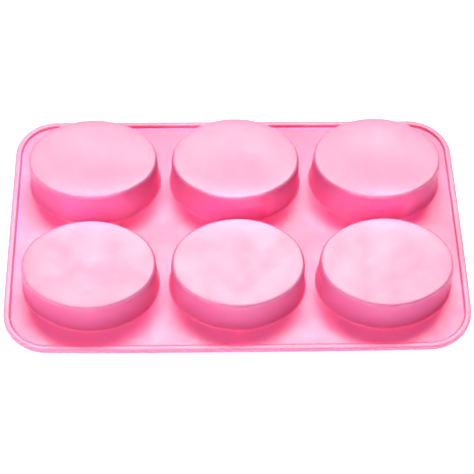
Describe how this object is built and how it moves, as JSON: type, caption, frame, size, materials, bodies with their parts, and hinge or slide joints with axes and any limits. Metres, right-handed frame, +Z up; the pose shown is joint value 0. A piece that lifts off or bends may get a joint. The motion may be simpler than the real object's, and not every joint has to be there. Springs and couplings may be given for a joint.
{
  "type": "silicone soap mould",
  "caption": "Flexible tray mould with rows of shallow oval cavities in a flat sheet with rounded corners and a raised edge bead, shown upside down.",
  "frame": {"origin": "middle of the flat pouring face, which the mould lies on when it is upside down", "axes": "+X along the long side, +Y from the front row of cups to the back row, +Z up from the pouring face towards the closed ends of the cups"},
  "size_m": [0.27, 0.165, 0.025],
  "materials": {
    "silicone_rim": "satin",
    "silicone_sheet": "satin",
    "silicone_cup": "satin"
  },
  "bodies": {
    "root": {"rim_bead": "silicone_rim", "web_sheet": "silicone_sheet", "cup_front_left": "silicone_cup", "cup_front_middle": "silicone_cup", "cup_front_right": "silicone_cup", "cup_back_left": "silicone_cup", "cup_back_middle": "silicone_cup", "cup_back_right": "silicone_cup"}
  },
  "joints": []
}
